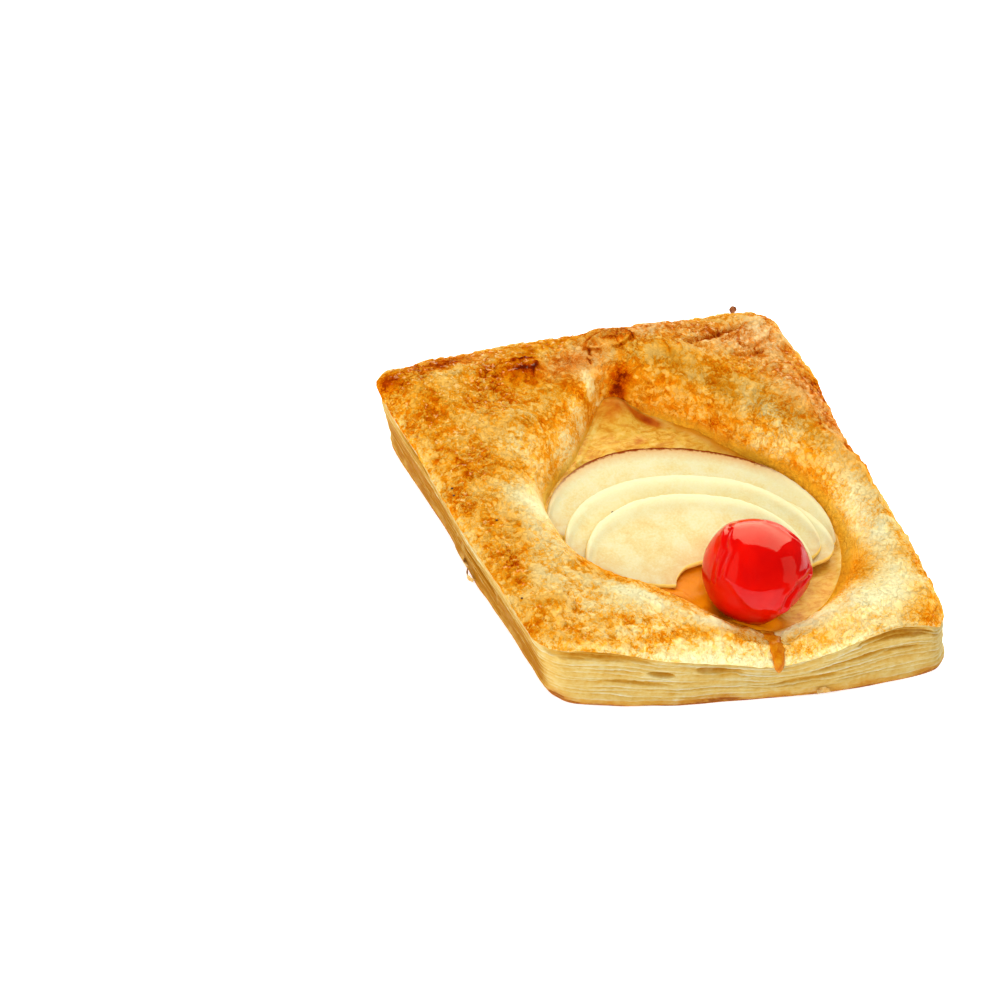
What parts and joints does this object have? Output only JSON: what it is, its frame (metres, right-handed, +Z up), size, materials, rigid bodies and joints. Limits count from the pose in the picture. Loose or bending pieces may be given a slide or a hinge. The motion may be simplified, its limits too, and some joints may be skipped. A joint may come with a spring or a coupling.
{
  "type": "apple tartlet",
  "caption": "Square puff pastry tartlet with a pressed well of baked custard, a fan of thin apple slices and a glace cherry.",
  "frame": {"origin": "middle of the footprint, on the surface that the tartlet rests on", "axes": "+Z up, -Y towards the front edge with the cherry, X along the front edge"},
  "size_m": [0.1058, 0.1062, 0.0331],
  "materials": {
    "crust": "glazed golden-brown puff pastry, pale cream at the layered sides",
    "custard": "glossy baked custard skin and glaze",
    "apple": "moist cream-coloured apple flesh, browned at the first slice's skin edge",
    "cherry": "glossy red glace cherry"
  },
  "bodies": {
    "root": {"pastry": "crust", "custard": "custard", "apple_slice_1": "apple", "apple_slice_2": "apple", "apple_slice_3": "apple", "apple_slice_4": "apple", "cherry": "cherry"}
  },
  "joints": []
}
